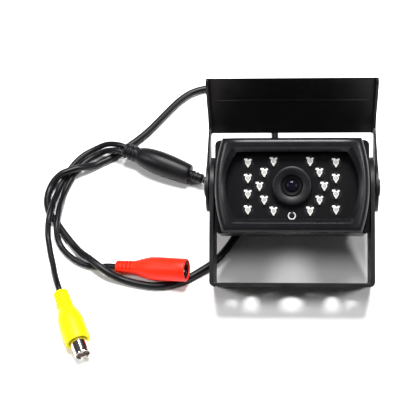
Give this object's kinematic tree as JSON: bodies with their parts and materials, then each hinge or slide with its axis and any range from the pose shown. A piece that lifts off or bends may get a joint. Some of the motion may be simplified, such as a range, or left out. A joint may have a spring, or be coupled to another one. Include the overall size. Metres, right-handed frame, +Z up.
{
  "type": "backup camera kit",
  "caption": "Vehicle rear-view camera head in a drilled U-bracket with a tilting sun visor, and a Y-cable with a yellow video socket and a red power socket.",
  "frame": {"origin": "on the table under the middle of the camera unit's bounding box, cords and plugs left out", "axes": "+Z up, +X along the pivot axis to the right as the lens looks at you, -Y to the side the lens leans towards"},
  "size_m": [0.1754, 0.1712, 0.0754],
  "materials": {
    "housing": "satin black powder coat",
    "paint": "semi-matte black paint",
    "rubber": "matte black",
    "glass": "smoked, polished",
    "led_resin": "clear epoxy over a silvered lead frame",
    "sensor_resin": "clear epoxy",
    "board": "solder mask",
    "optics_black": "matte black",
    "lens": "coated, polished",
    "zinc": "zinc plated",
    "black_steel": "black oxide",
    "nylon": "natural",
    "cable_pvc": "satin black PVC",
    "yellow_pvc": "moulded yellow PVC",
    "red_pvc": "moulded red PVC",
    "chrome": "nickel plated",
    "insulator": "moulded insulator"
  },
  "bodies": {
    "head": {"housing_shell": "housing", "front_bezel": "housing", "rear_cover": "housing", "rear_gasket": "rubber", "glass_gasket": "rubber", "strain_relief": "rubber", "cable_gland": "rubber", "gland_lock_nut": "rubber", "front_glass": "glass", "ir_led_01": "led_resin", "ir_led_02": "led_resin", "ir_led_03": "led_resin", "ir_led_04": "led_resin", "ir_led_05": "led_resin", "ir_led_06": "led_resin", "ir_led_07": "led_resin", "ir_led_08": "led_resin", "ir_led_09": "led_resin", "ir_led_10": "led_resin", "ir_led_11": "led_resin", "ir_led_12": "led_resin", "ir_led_13": "led_resin", "ir_led_14": "led_resin", "ir_led_15": "led_resin", "ir_led_16": "led_resin", "ir_led_17": "led_resin", "ir_led_18": "led_resin", "light_sensor": "sensor_resin", "led_board": "board", "main_board": "board", "lens_shroud": "optics_black", "lens_barrel": "optics_black", "lens_holder": "optics_black", "image_sensor": "optics_black", "lens_glass": "lens", "rear_cover_screw_1": "zinc", "rear_cover_screw_2": "zinc", "rear_cover_screw_3": "zinc", "rear_cover_screw_4": "zinc", "pivot_bolt_left": "black_steel", "pivot_bolt_right": "black_steel", "pivot_washer_left": "nylon", "pivot_washer_right": "nylon", "main_cable": "cable_pvc", "video_lead": "cable_pvc", "power_lead": "cable_pvc", "cable_splitter": "cable_pvc", "video_plug_body": "yellow_pvc", "power_plug_body": "red_pvc", "rca_barrel": "chrome", "rca_contact": "chrome", "dc_pin": "chrome", "rca_insulator": "insulator", "dc_insulator": "insulator"},
    "bracket": {"u_bracket": "paint"},
    "visor": {"sun_visor": "paint"}
  },
  "joints": [
    {"name": "bracket_tilt", "type": "hinge", "parent": "head", "child": "bracket", "pos_m": [0, 0.00515, 0.03702], "axis": [1, 0, 0], "range_deg": [-75, 0]},
    {"name": "visor_tilt", "type": "hinge", "parent": "head", "child": "visor", "pos_m": [0, 0.00515, 0.03702], "axis": [1, 0, 0], "range_deg": [-30, 60]}
  ]
}
